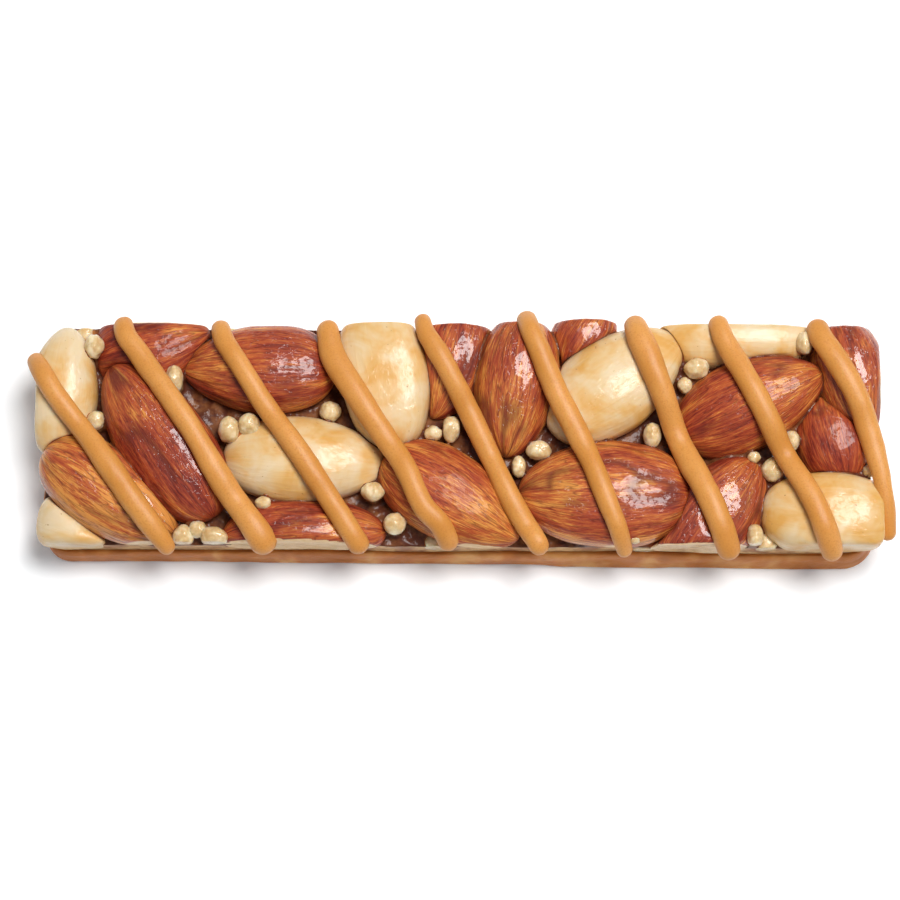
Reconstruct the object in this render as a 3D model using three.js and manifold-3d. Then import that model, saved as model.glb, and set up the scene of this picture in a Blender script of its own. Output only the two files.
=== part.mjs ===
// A glazed nut bar: whole almonds and pale blanched nuts set in dark syrup with little round crisps,
// on a caramel coat that wraps up its cut sides, with nine beads of caramel drizzled across the top.
// Millimetres. +X runs along the bar, +Y across it to the far side, +Z up.
// The origin is the middle of the bar's underside.
import * as THREE from "three";
import { mergeVertices } from "three/addons/utils/BufferGeometryUtils.js";
import Module from "manifold-3d";

const wasm = await Module();
wasm.setup();

// The block of nuts and syrup, cut to size from a slab.
const BLOCK_LENGTH = 110.6;
const NUTS_LENGTH = 113.8; // above the coat, the nuts stand out a little at both ends
const NUTS_CORNER = 1.5;
const BLOCK_WIDTH = 29.9;
const BLOCK_CORNER = 3.2;
const BLOCK_TOP = 20; // above every nut, so that the block trims only the sides
const SYRUP_TOP = 9.2; // the level of the syrup between the nuts

// The caramel coat: a floor under the block and a thin wall with a wavy rim.
const COAT_FLOOR = 1.8;
const COAT_WALL = 0.5;
const COAT_RIM = 5.2; // mean height of the rim
const COAT_RIM_HIGHEST = 6.2;
const COAT_WAVES = [
  { height: 0.5, waves: 9, phase: 0.4 },
  { height: 0.35, waves: 17, phase: 2.1 },
];
const FOOT_SPREAD = 0.28; // how far the coat has run out round its foot
const FOOT_SPREAD_SWING = 0.07; // more or less than that, in waves along the bar
const FOOT_SPREAD_WAVE = 25;
const FOOT_SPREAD_SLANT = 1.1; // more at the right of the near side, and less at its left
const FOOT_ROUNDING = 0.6;
const COAT_SIDE_STEP = 7.5; // length of a facet along the coat's sides
const CORNER_FACETS = 4;

// Clearances between pieces that touch in the real bar.
const COAT_GAP = 0.2;
const POCKET_GAP = 0.65; // the pockets are coarser than the nuts, so they need more

// How finely the faceted pieces are divided.
const NUT_AROUND = 14;
const NUT_ALONG = 9;
const POCKET_AROUND = 9;
const POCKET_ALONG = 7;
const CRISP_AROUND = 5;
const CRISP_ALONG = 4;
const BEAD_AROUND = 7;
const BEAD_END_STEPS = 2;
const BEAD_STEPS = 10;

// A nut's outline is (1 + u)^blunt * (1 - u)^tip along its axis u, from -1 at the blunt end to 1 at the
// tip, and its section is a superellipse: square 2 is an ellipse, and more is boxier.
const ALMOND = { blunt: 0.44, tip: 0.6, square: 2.1 };
const BLUNT_ALMOND = { blunt: 0.42, tip: 0.51, square: 2.2 };
const OVAL = { blunt: 0.44, tip: 0.56, square: 2.2 };
const CHUNK = { blunt: 0.27, tip: 0.36, square: 2.9 };
const SLIVER = { blunt: 0.36, tip: 0.36, square: 2.3 };

// A nut's middle, its length, width and thickness, the heading of its tip in plan, how far the tip is
// raised, and the roll about the nut's own axis, in degrees.
const nut = (at, size, heading, raise, roll, form = ALMOND) => ({ at, size, heading, raise, roll, form });
const almonds = {
  almond_01: nut([-46.4, -8.0, 9.9], [20.8, 11.4, 8.4], -33, -2, -6, BLUNT_ALMOND),
  almond_02: nut([-39.5, -1.1, 10.0], [24.8, 12.2, 8.6], 125, 2, -4, BLUNT_ALMOND),
  almond_03: nut([-41.2, 12.3, 8.9], [15.8, 12.0, 7.6], 14, 5, -8),
  almond_04: nut([-26.8, 9.0, 9.6], [20.8, 12.2, 8.6], 179, -2, 4),
  almond_05: nut([-20.4, -13.8, 9.0], [22.0, 11.4, 8.0], 4, 0, 0),
  almond_06: nut([-1.4, 10.2, 8.9], [16.0, 11.4, 8.2], -104, 1, 6),
  almond_07: nut([7.7, 6.7, 9.9], [19.4, 11.4, 8.8], -98, -3, -4),
  almond_08: nut([17.2, 14.2, 8.9], [11.0, 8.6, 7.0], 60, 3, 0),
  almond_09: nut([-0.9, -8.5, 9.6], [21.0, 12.0, 8.8], -31, -2, -4),
  almond_10: nut([19.6, -8.0, 9.9], [23.2, 14.4, 8.6], 180, 0, 4, BLUNT_ALMOND),
  almond_11: nut([33.7, -11.2, 9.0], [20.0, 12.6, 8.2], 52, 2, 6, BLUNT_ALMOND),
  almond_12: nut([39.3, 4.5, 9.8], [21.0, 12.2, 8.6], 24, 6, 4),
  almond_13: nut([50.3, 0.6, 9.0], [13.6, 10.0, 7.8], 104, -2, 0),
  almond_14: nut([52.8, 8.3, 9.4], [17.0, 10.0, 8.2], -78, 3, 8),
};
const blanchedNuts = {
  blanched_nut_1: nut([-53.2, 5.8, 9.3], [17.8, 9.4, 8.6], 86, 3, 0, OVAL),
  blanched_nut_2: nut([-51.3, -12.0, 7.8], [9.8, 9.6, 7.8], 172, 0, 0, CHUNK),
  blanched_nut_3: nut([-20.5, -3.5, 9.6], [21.8, 11.8, 8.2], -2, 0, -3, OVAL),
  blanched_nut_4: nut([-9.9, 7.4, 9.7], [18.6, 12.0, 8.4], -79, 2, 0, CHUNK),
  blanched_nut_5: nut([21.0, 7.2, 9.8], [21.6, 12.8, 8.6], 36, 0, -4, OVAL),
  blanched_nut_6: nut([37.4, 13.7, 8.8], [21.4, 8.6, 7.4], 1, 0, 0, SLIVER),
  blanched_nut_7: nut([49.1, -10.6, 9.3], [17.4, 11.6, 8.8], 176, 0, 0, CHUNK),
};

// Round crisps, by their middles. The first ones fill the gaps between nuts on the top.
const CRISP_DIAMETER = 3.2;
const CRISP_STRETCH = 0.18; // how much longer than round the longest ones are
const CRISP_STRETCH_STEP = 2.4; // radians from one crisp to the next in the run of lengths
const CRISP_TURN_STEP = 1.1; // radians from one crisp's heading to the next
const CRISP_HEIGHT = 10.2; // where a crisp lies on the syrup
const topCrisps = [
  [-48.8, 12.0], [-48.4, 1.8], [-38.0, 7.6], [-30.6, 0.9], [-27.9, 1.6], [-17.1, 3.5],
  [-11.3, -7.9], [-8.3, -12.0], [-36.6, -13.0], [-34.4, -12.4], [-32.3, -13.2], [-0.9, 1.2],
  [-3.6, 0.7], [10.8, -1.8], [8.0, -4.2], [26.0, 0.2], [31.9, 9.4], [30.2, 7.2], [46.4, 12.9],
  [44.9, -0.3], [42.0, -4.6], [39.4, -3.2], [39.4, -13.4], [23.8, -13.8], [-25.8, -9.4], [54.6, -4.6],
];
// These lie in the cut faces, where syrup shows between the nuts: x, y and height.
const sideCrisps = [
  [-30.6, 14.2, 7.4], [-27.0, 14.4, 5.6], [27.4, 14.3, 7.8], [46.2, 14.2, 6.4], [-3.0, -14.2, 7.6],
  [24.8, -14.0, 6.6], [41.2, -14.1, 7.8], [-56.0, -4.6, 7.4], [55.9, -4.2, 7.6], [-50.4, 14.2, 7.2],
];

// Caramel beads, as plan points from the far side to the near side. A point with a third number hangs at
// that height beside the block, and the others lie on what is under them. A bead's reach is how far out its
// hanging end comes, and its widths are evenly spaced along it.
const BEAD_HEIGHT = 2.2;
const BEAD_FLATNESS = 0.8; // how deep the underside is, against the top side
const BEAD_SPACING = 2.2; // between the points where a bead is laid on the bar
const BEAD_LIFT = 0.5; // between a bead and what it lies on
const BEAD_BEND = 5.0; // radius to which a bead bends down between nuts
const BEAD_BEARING = 0.3; // how far to each side of its middle a bead bears, as a share of its width
const farEnd = (x, reach) => [[x - 0.6, reach - 0.5, 10.9], [x - 0.4, reach - 1.6, 12.4], [x, reach - 3.6]];
const nearEnd = (x, reach) => [[x, 4 - reach], [x + 1, 2 - reach, 12], [x + 1.6, 0.9 - reach, 10.1]];
const leftEnd = [[-57.4, 10.4, 10.4], [-56.8, 9.3, 12.0]];
const rightEnd = [[56.3, -6.6, 12.4], [57.2, -10.6, 11.2], [57.3, -14.0, 9.8]];
const beadRoutes = [
  {
    widths: [2.1, 2.8, 2.8, 2.7, 3.0, 3.3, 3.2, 3.2, 3.0, 2.0],
    points: [...leftEnd, [-55.0, 6.9], [-53.5, 4.4], [-50.0, 0], [-46.7, -4.4], [-43.3, -9.2],
      ...nearEnd(-39.6, 17.2)],
  },
  {
    widths: [2.5, 2.8, 3.0, 3.0, 3.1, 2.9, 3.1, 3.4, 3.3, 3.6, 3.7],
    points: [...farEnd(-44.5, 16.1), [-43.6, 11.6], [-39.4, 5.6], [-35.2, -0.5], [-31.2, -7.1],
      ...nearEnd(-26.6, 17.2)],
  },
  {
    widths: [2.3, 2.8, 2.9, 2.7, 2.9, 2.9, 3.0, 3.0, 2.9, 2.9, 3.0],
    points: [...farEnd(-31.5, 15.6), [-30.1, 10.2], [-26.3, 4.1], [-21.6, -2.4], [-17.5, -8.5],
      ...nearEnd(-14.2, 17.0)],
  },
  {
    widths: [2.8, 3.2, 3.5, 3.5, 3.4, 3.2, 3.0, 2.9, 2.9, 2.9, 2.5],
    points: [...farEnd(-17.2, 15.7), [-16.6, 9.6], [-12.2, 2.6], [-7.5, -4.3], [-4.6, -10.5],
      ...nearEnd(-2.4, 16.7)],
  },
  {
    widths: [2.0, 2.5, 2.8, 2.9, 3.0, 3.1, 2.9, 2.9, 3.0, 2.9, 2.5],
    points: [...farEnd(-4.4, 16.6), [-2.9, 10.9], [0.8, 4.1], [4.1, -2.7], [7.1, -9.2],
      ...nearEnd(9.6, 17.1)],
  },
  {
    widths: [2.6, 2.8, 3.1, 3.1, 3.3, 3.3, 2.9, 2.9, 2.8, 2.6, 2.1],
    points: [...farEnd(9.5, 17.1), [10.4, 11.6], [13.3, 4.5], [16.8, -2.4], [19.5, -9.4],
      ...nearEnd(20.7, 17.3)],
  },
  {
    widths: [2.7, 3.4, 3.5, 3.3, 3.1, 3.2, 3.3, 3.1, 3.3, 3.2, 3.0],
    points: [...farEnd(24.0, 16.5), [24.9, 10.9], [27.5, 4.1], [30.2, -2.7], [33.5, -9.7],
      ...nearEnd(34.6, 17.8)],
  },
  {
    widths: [2.5, 2.9, 3.1, 3.1, 3.1, 3.0, 2.9, 3.0, 3.0, 3.2, 2.7],
    points: [...farEnd(35.2, 16.7), [36.3, 10.9], [39.6, 4.4], [42.9, -2.0], [46.5, -8.6],
      ...nearEnd(48.2, 17.8)],
  },
  {
    widths: [2.9, 3.2, 3.3, 3.1, 3.2, 3.2, 2.3, 2.3, 2.2],
    points: [...farEnd(48.5, 16.2), [49.8, 10.7], [53.1, 4.4], [55.1, -1.4], ...rightEnd],
  },
];

const looks = {
  almond: { color: 0x8f4420, roughness: 0.35, metalness: 0 },
  blanched: { color: 0xe6c48a, roughness: 0.4, metalness: 0 },
  syrup: { color: 0x4a2113, roughness: 0.2, metalness: 0 },
  coat: { color: 0xb9763f, roughness: 0.45, metalness: 0 },
  drizzle: { color: 0xd69352, roughness: 0.5, metalness: 0 },
};

// ---- joining and cutting ----------------------------------------------------------------------------

// A closed geometry as a solid that can be joined and cut.
function toSolid(geometry) {
  const bare = geometry.clone();
  bare.deleteAttribute("normal");
  bare.deleteAttribute("uv");
  const merged = mergeVertices(bare, 1e-4);
  return new wasm.Manifold(new wasm.Mesh({
    numProp: 3,
    vertProperties: new Float32Array(merged.attributes.position.array),
    triVerts: new Uint32Array(merged.index.array),
  }));
}

// The largest body of a solid: cuts can leave loose scraps.
function largestBody(solid) {
  return solid.decompose().reduce((best, body) => (body.volume() > best.volume() ? body : best));
}

function toMesh(name, solid, look) {
  const { numProp, vertProperties, triVerts } = largestBody(solid).getMesh();
  const positions = new Float32Array((vertProperties.length / numProp) * 3);
  for (let i = 0; i < positions.length / 3; i++)
    positions.set(vertProperties.subarray(i * numProp, i * numProp + 3), i * 3);
  const geometry = new THREE.BufferGeometry()
    .setAttribute("position", new THREE.BufferAttribute(positions, 3))
    .setIndex(new THREE.BufferAttribute(new Uint32Array(triVerts), 1));
  geometry.computeVertexNormals();
  const mesh = new THREE.Mesh(geometry, new THREE.MeshStandardMaterial(look));
  mesh.name = name;
  return mesh;
}

// Moves each vertex of a geometry to where place puts it.
function reshape(geometry, place) {
  const position = geometry.attributes.position;
  const point = new THREE.Vector3();
  for (let i = 0; i < position.count; i++) {
    point.fromBufferAttribute(position, i);
    place(point);
    position.setXYZ(i, point.x, point.y, point.z);
  }
  return geometry;
}

// ---- the block's outline ----------------------------------------------------------------------------

// A rounded rectangle, grown by margin on all sides.
function outline(margin, length = BLOCK_LENGTH, corner = BLOCK_CORNER) {
  const [halfX, halfY] = [length / 2 + margin, BLOCK_WIDTH / 2 + margin];
  const radius = corner + margin;
  const quarter = Math.PI / 2;
  const shape = new THREE.Shape();
  shape.absarc(halfX - radius, halfY - radius, radius, 0, quarter);
  shape.absarc(radius - halfX, halfY - radius, radius, quarter, 2 * quarter);
  shape.absarc(radius - halfX, radius - halfY, radius, 2 * quarter, 3 * quarter);
  shape.absarc(halfX - radius, radius - halfY, radius, 3 * quarter, 4 * quarter);
  return shape.closePath();
}

function slab(margin, bottom, top, length, corner) {
  const geometry = new THREE.ExtrudeGeometry(outline(margin, length, corner), {
    depth: top - bottom, bevelEnabled: false, curveSegments: CORNER_FACETS,
  });
  return geometry.translate(0, 0, bottom);
}

// ---- nuts -------------------------------------------------------------------------------------------

function nutGeometry({ at, size, heading, raise, roll, form }, margin, around, along) {
  const [halfLength, halfWidth, halfThickness] = size.map((full) => full / 2 + margin);
  const widest = (form.blunt - form.tip) / (form.tip + form.blunt);
  const profile = (u) => (1 + u) ** form.blunt * (1 - u) ** form.tip;
  const soften = (value) => Math.sign(value) * Math.abs(value) ** (2 / form.square);
  const turn = new THREE.Matrix4().makeRotationFromEuler(new THREE.Euler(
    THREE.MathUtils.degToRad(roll),
    THREE.MathUtils.degToRad(-raise),
    THREE.MathUtils.degToRad(heading),
    "ZYX",
  ));
  const sphere = new THREE.SphereGeometry(1, around, along);
  return reshape(sphere, (point) => {
    const u = THREE.MathUtils.clamp(point.y, -1, 1);
    const ring = Math.hypot(point.x, point.z);
    const isEnd = ring < 1e-6;
    const reach = isEnd ? 0 : profile(u) / profile(widest);
    const [across, upward] = isEnd ? [0, 0] : [soften(-point.x / ring), soften(point.z / ring)];
    point.set(halfLength * u, halfWidth * reach * across, halfThickness * reach * upward);
    point.applyMatrix4(turn).add(new THREE.Vector3(...at));
  });
}

// The nuts, highest first: each one is trimmed by the block's sides and by those that lie over it.
function makeNuts() {
  const aboveCoat = toSolid(slab(0, COAT_RIM_HIGHEST + COAT_GAP, BLOCK_TOP, NUTS_LENGTH, NUTS_CORNER));
  const block = toSolid(slab(0, 0, BLOCK_TOP)).add(aboveCoat);
  const table = Object.entries({ ...almonds, ...blanchedNuts }).sort(([, a], [, b]) => b.at[2] - a.at[2]);
  const nuts = [];
  for (const [name, shape] of table) {
    let solid = toSolid(nutGeometry(shape, 0, NUT_AROUND, NUT_ALONG)).intersect(block);
    for (const placed of nuts) solid = solid.subtract(placed.pocket);
    nuts.push({
      name,
      look: name in almonds ? looks.almond : looks.blanched,
      solid: largestBody(solid),
      pocket: toSolid(nutGeometry(shape, POCKET_GAP, POCKET_AROUND, POCKET_ALONG)),
    });
  }
  return nuts;
}

// ---- syrup and crisps -------------------------------------------------------------------------------

function crispGeometry(x, y, z, index) {
  const stretch = 1 + CRISP_STRETCH * Math.abs(Math.sin(index * CRISP_STRETCH_STEP));
  return new THREE.SphereGeometry(CRISP_DIAMETER / 2, CRISP_AROUND, CRISP_ALONG)
    .scale(1, stretch, 1)
    .rotateZ(index * CRISP_TURN_STEP)
    .translate(x, y, z);
}

function makeSyrup(nuts) {
  let syrup = toSolid(slab(0, COAT_FLOOR + COAT_GAP, SYRUP_TOP));
  const middles = [...topCrisps.map(([x, y]) => [x, y, CRISP_HEIGHT]), ...sideCrisps];
  middles.forEach(([x, y, z], index) => {
    syrup = syrup.add(toSolid(crispGeometry(x, y, z, index)));
  });
  syrup = syrup.intersect(toSolid(slab(0, 0, BLOCK_TOP)));
  for (const { pocket } of nuts) syrup = syrup.subtract(pocket);
  return syrup;
}

// ---- the caramel coat -------------------------------------------------------------------------------

function rimHeight(x, y) {
  const angle = Math.atan2(y / BLOCK_WIDTH, x / BLOCK_LENGTH);
  const wave = ({ height, waves, phase }) => height * Math.sin(waves * angle + phase);
  return COAT_RIM + COAT_WAVES.reduce((sum, each) => sum + wave(each), 0);
}

function footSpread(x, y) {
  const nearness = Math.max(0, -y) / (BLOCK_WIDTH / 2);
  const slant = (FOOT_SPREAD_SLANT * nearness * x) / BLOCK_LENGTH;
  return FOOT_SPREAD + FOOT_SPREAD_SWING * Math.sin((2 * Math.PI * x) / FOOT_SPREAD_WAVE) + slant;
}

// The coat's outline as a loop of points, with facets of like length on its sides.
function coatLoop() {
  const facets = (curve) => (
    curve.isEllipseCurve ? CORNER_FACETS : Math.round(curve.getLength() / COAT_SIDE_STEP)
  );
  const { curves } = outline(COAT_GAP + COAT_WALL);
  return curves.flatMap((curve) => curve.getPoints(facets(curve)).slice(0, -1));
}

// The outer form is a lathe whose rings are then fitted to the outline: sole, foot, side and wavy rim.
function makeCoat() {
  const loop = coatLoop();
  const profile = [[0, 0], [1, 0], [1, 1], [1, 2], [1, 3], [0, 3]].map(([x, y]) => new THREE.Vector2(x, y));
  const rings = new THREE.LatheGeometry(profile, loop.length);
  const position = rings.attributes.position;
  for (let i = 0; i < position.count; i++) {
    const ring = i % profile.length;
    const { x, y } = loop[Math.floor(i / profile.length) % loop.length];
    const spread = footSpread(x, y);
    const flare = [0, spread - FOOT_ROUNDING, spread, 0, 0, 0][ring];
    const height = [0, 0, FOOT_ROUNDING, COAT_RIM / 2, rimHeight(x, y), COAT_RIM][ring];
    const scale = profile[ring].x;
    const stretch = [1 + (2 * flare) / BLOCK_LENGTH, 1 + (2 * flare) / BLOCK_WIDTH];
    position.setXYZ(i, scale * x * stretch[0], scale * y * stretch[1], height);
  }
  return toSolid(rings).subtract(toSolid(slab(COAT_GAP, COAT_FLOOR, BLOCK_TOP)));
}

// ---- the drizzle ------------------------------------------------------------------------------------

// How high the bar is at a point in plan, or -Infinity beside it.
function heightFinder(meshes) {
  const caster = new THREE.Raycaster();
  const down = new THREE.Vector3(0, 0, -1);
  return (x, y) => {
    caster.set(new THREE.Vector3(x, y, 2 * BLOCK_TOP), down);
    const [hit] = caster.intersectObjects(meshes, false);
    return hit ? hit.point.z : -Infinity;
  };
}

// The bead's middle line: hung points as given, and the rest laid on the bar, bridging the gaps in it.
function beadCurve({ widths, points }, heightAt) {
  const hung = (from, to) => points.slice(from, to).map(([x, y, z]) => new THREE.Vector3(x, y, z));
  const firstLaid = points.findIndex((point) => point.length === 2);
  const endLaid = points.findLastIndex((point) => point.length === 2) + 1;
  const plan = new THREE.CatmullRomCurve3(
    points.slice(firstLaid, endLaid).map(([x, y]) => new THREE.Vector3(x, y, 0)),
  );
  const steps = Math.round(plan.getLength() / BEAD_SPACING);
  const bearing = Math.max(...widths) * BEAD_BEARING;
  const places = plan.getSpacedPoints(steps);
  const ground = places.map((place, i) => {
    const along = plan.getTangentAt(i / steps);
    const side = new THREE.Vector3(-along.y, along.x, 0).multiplyScalar(bearing);
    return Math.max(...[-1, 0, 1].map((k) => heightAt(place.x + k * side.x, place.y + k * side.y)));
  });
  const laid = places.map((place) => {
    const carried = places.map((other, j) => ground[j] - place.distanceToSquared(other) / (2 * BEAD_BEND));
    const height = Math.max(...carried) + BEAD_LIFT + (BEAD_HEIGHT * BEAD_FLATNESS) / 2;
    return new THREE.Vector3(place.x, place.y, height);
  });
  return new THREE.CatmullRomCurve3([...hung(0, firstLaid), ...laid, ...hung(endLaid)]);
}

// A capsule bent along the curve: wide, low and flatter underneath.
function beadGeometry(curve, widths) {
  const length = curve.getLength();
  const widest = Math.max(...widths);
  const radius = widest / 2;
  const capsule = new THREE.CapsuleGeometry(
    radius, length - 2 * radius, BEAD_END_STEPS, BEAD_AROUND, BEAD_STEPS,
  );
  const chord = curve.getPoint(1).sub(curve.getPoint(0));
  const flatSide = new THREE.Vector3(-chord.y, chord.x, 0).normalize();
  return reshape(capsule, (point) => {
    const share = THREE.MathUtils.clamp(0.5 - point.y / length, 0, 1);
    const station = share * (widths.length - 1);
    const before = Math.min(Math.floor(station), widths.length - 2);
    const width = THREE.MathUtils.lerp(widths[before], widths[before + 1], station - before);
    const along = curve.getTangentAt(share);
    const side = flatSide.clone().addScaledVector(along, -flatSide.dot(along)).normalize();
    const up = along.clone().cross(side);
    const depth = point.z < 0 ? BEAD_FLATNESS : 1;
    const [across, rise] = [(point.x * width) / widest, (point.z * depth * BEAD_HEIGHT) / widest];
    point.copy(curve.getPointAt(share)).addScaledVector(side, across).addScaledVector(up, rise);
  });
}

function makeBeads(carriers, keepClear) {
  const heightAt = heightFinder(carriers);
  return beadRoutes.map((route) => {
    let bead = toSolid(beadGeometry(beadCurve(route, heightAt), route.widths));
    for (const solid of keepClear) bead = bead.subtract(solid);
    return bead;
  });
}

// ---- the bar ----------------------------------------------------------------------------------------

const nuts = makeNuts();
const bar = new THREE.Group();
bar.add(toMesh("caramel_coat", makeCoat(), looks.coat));
bar.add(toMesh("syrup_and_crisps", makeSyrup(nuts), looks.syrup));
for (const { name, solid, look } of nuts) bar.add(toMesh(name, solid, look));
bar.updateMatrixWorld(true);

const besideBlock = toSolid(slab(COAT_GAP / 2, 0, BLOCK_TOP, NUTS_LENGTH, NUTS_CORNER));
const keepClear = [
  ...nuts.map(({ pocket }) => pocket.intersect(besideBlock)),
  toSolid(slab(COAT_GAP + COAT_WALL + COAT_GAP, 0, COAT_RIM_HIGHEST)),
];
makeBeads(bar.children, keepClear).forEach((bead, index) => {
  bar.add(toMesh("drizzle_" + (index + 1), bead, looks.drizzle));
});

const box = new THREE.Box3().setFromObject(bar);
const middle = box.getCenter(new THREE.Vector3());
bar.position.set(-middle.x, -middle.y, -box.min.z);

export default bar;
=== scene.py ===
"""The looks of a glazed nut bar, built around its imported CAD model.

Shapes are worked out in millimetres with the origin under the middle of the cut block, and become metres in
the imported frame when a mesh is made. Every piece replaces the CAD node that it dresses.
"""
import math

import bpy
import numpy as np
from mathutils import Matrix, Vector
from mathutils.bvhtree import BVHTree


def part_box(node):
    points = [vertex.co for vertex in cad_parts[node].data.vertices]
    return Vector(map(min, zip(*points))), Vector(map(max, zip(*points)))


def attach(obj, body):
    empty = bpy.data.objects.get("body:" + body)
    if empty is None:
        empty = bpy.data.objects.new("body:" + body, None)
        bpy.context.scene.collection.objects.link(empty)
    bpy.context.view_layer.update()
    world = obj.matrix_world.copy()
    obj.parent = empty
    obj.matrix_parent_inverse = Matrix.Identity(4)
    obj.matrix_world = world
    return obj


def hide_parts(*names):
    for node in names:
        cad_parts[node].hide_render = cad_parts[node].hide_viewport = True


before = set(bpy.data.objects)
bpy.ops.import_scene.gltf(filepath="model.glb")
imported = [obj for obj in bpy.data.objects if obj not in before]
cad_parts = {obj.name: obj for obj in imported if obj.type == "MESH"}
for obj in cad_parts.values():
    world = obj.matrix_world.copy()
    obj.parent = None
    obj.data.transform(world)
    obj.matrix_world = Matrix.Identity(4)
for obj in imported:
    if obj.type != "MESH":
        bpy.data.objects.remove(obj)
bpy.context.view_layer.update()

MM = 0.001

# ---- sizes, from the frame ----------------------------------------------------------------------------

block_low, block_high = (np.array(corner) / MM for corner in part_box("syrup_and_crisps"))
BLOCK_MIDDLE = np.array([*(block_low + block_high)[:2] / 2, 0])
BLOCK_LENGTH, BLOCK_WIDTH = (block_high - block_low)[:2]
END_OVERHANG = 1.2  # how far the nuts stand out at both ends, above the coat
OVERHANG_FROM = 4.6  # the height where they begin to
OVERHANG_SPAN = 3.0  # the height over which they reach it
BLOCK_CORNER = 3.2  # radius in plan of the block's corners low down
NUTS_CORNER = 1.5  # the same at the height of the nuts
COAT_FLOOR = block_low[2]  # top of the coat's sole, on which the syrup lies
SYRUP_TOP = 9.2  # height that is taken where nothing is found underneath

# ---- nuts, as in the CAD model ------------------------------------------------------------------------

# A nut's outline is (1 + u)^blunt * (1 - u)^tip along its axis u, from -1 at the blunt end to 1 at the
# tip, and its section is a superellipse: square 2 is an ellipse, and more is boxier.
ALMOND = {"blunt": 0.44, "tip": 0.6, "square": 2.1}
BLUNT_ALMOND = {"blunt": 0.42, "tip": 0.51, "square": 2.2}
OVAL = {"blunt": 0.44, "tip": 0.56, "square": 2.2}
CHUNK = {"blunt": 0.27, "tip": 0.36, "square": 2.9}
SLIVER = {"blunt": 0.36, "tip": 0.36, "square": 2.3}


class Nut:
    """A nut's plain form: middle, size, heading, how far its tip is raised, and roll, in mm and degrees."""

    def __init__(self, at, size, heading, raised, roll, form=ALMOND,
                 tint=0.3, gloss=0.7, proud=0.0, heart=(0, 0, 0), soft=3):
        self.at = np.array(at)
        self.half_length, self.half_width, self.half_thickness = np.array(size) / 2
        turns = [Matrix.Rotation(math.radians(angle), 3, axis)
                 for angle, axis in ((heading, "Z"), (-raised, "Y"), (roll, "X"))]
        self.turn = np.array(turns[0] @ turns[1] @ turns[2])
        self.form = form
        self.tint = tint  # how orange an almond's skin is, or how toasted a pale nut is
        self.gloss = gloss  # how much glaze shows on an almond
        self.proud = proud  # how far it stands out of the block's far side
        self.heart = self.at + heart  # a place inside it that no other nut reaches
        self.soft = soft  # how much its cuts are evened out

    def reach(self, along):
        """How far the section reaches at a place along the axis, as a share of the widest."""
        blunt, tip = self.form["blunt"], self.form["tip"]
        widest = (blunt - tip) / (blunt + tip)
        fullest = (1 + widest) ** blunt * (1 - widest) ** tip
        along = np.clip(along, -1, 1)
        return (1 + along) ** blunt * (1 - along) ** tip / fullest

    def outside(self, points):
        """Roughly how far points lie outside the nut, in mm, and negative inside it."""
        local = (points - self.at) @ self.turn
        square = self.form["square"]
        across = np.abs(local[..., 1] / self.half_width) ** square
        upward = np.abs(local[..., 2] / self.half_thickness) ** square
        ring = (across + upward) ** (1 / square)
        beside = ring - self.reach(local[..., 0] / self.half_length)
        beside = beside * min(self.half_width, self.half_thickness)
        beyond = np.abs(local[..., 0]) - self.half_length
        return np.maximum(beside, beyond)


ALMONDS = {
    "almond_01": Nut([-46.4, -8.0, 9.9], [20.8, 11.4, 8.4], -33, -2, -6, BLUNT_ALMOND, tint=0.85),
    "almond_02": Nut([-39.5, -1.1, 10.0], [24.8, 12.2, 8.6], 125, 2, -4, BLUNT_ALMOND, tint=0.2),
    "almond_03": Nut([-41.2, 12.3, 8.9], [15.8, 12.0, 7.6], 14, 5, -8, tint=0.2, gloss=0.28),
    "almond_04": Nut([-26.8, 9.0, 9.6], [20.8, 12.2, 8.6], 179, -2, 4, tint=0.35, gloss=0.6),
    "almond_05": Nut([-20.4, -13.8, 9.0], [22.0, 11.4, 8.0], 4, 0, 0, tint=0.3, gloss=0.5),
    "almond_06": Nut([-1.4, 10.2, 8.9], [16.0, 11.4, 8.2], -104, 1, 6, tint=0.4),
    "almond_07": Nut([7.7, 6.7, 9.9], [19.4, 11.4, 8.8], -98, -3, -4, tint=0.5, proud=0.3),
    "almond_08": Nut([17.2, 14.2, 8.9], [11.0, 8.6, 7.0], 60, 3, 0, tint=0.4, proud=0.9),
    "almond_09": Nut([-0.9, -8.5, 9.6], [21.0, 12.0, 8.8], -31, -2, -4, tint=0.6, gloss=0.15),
    "almond_10": Nut([19.6, -8.0, 9.9], [23.2, 14.4, 8.6], 180, 0, 4, BLUNT_ALMOND, tint=0.5, gloss=0.55),
    "almond_11": Nut([33.7, -11.2, 9.0], [20.0, 12.6, 8.2], 52, 2, 6, BLUNT_ALMOND, tint=0.25, gloss=0.8),
    "almond_12": Nut([39.3, 4.5, 9.8], [21.0, 12.2, 8.6], 24, 6, 4, tint=0.4, gloss=0.3),
    "almond_13": Nut([50.3, 0.6, 9.0], [13.6, 10.0, 7.8], 104, -2, 0, tint=0.2, gloss=0.35),
    "almond_14": Nut([52.8, 8.3, 9.4], [17.0, 10.0, 8.2], -78, 3, 8, tint=0.45, gloss=0.9),
}
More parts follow.
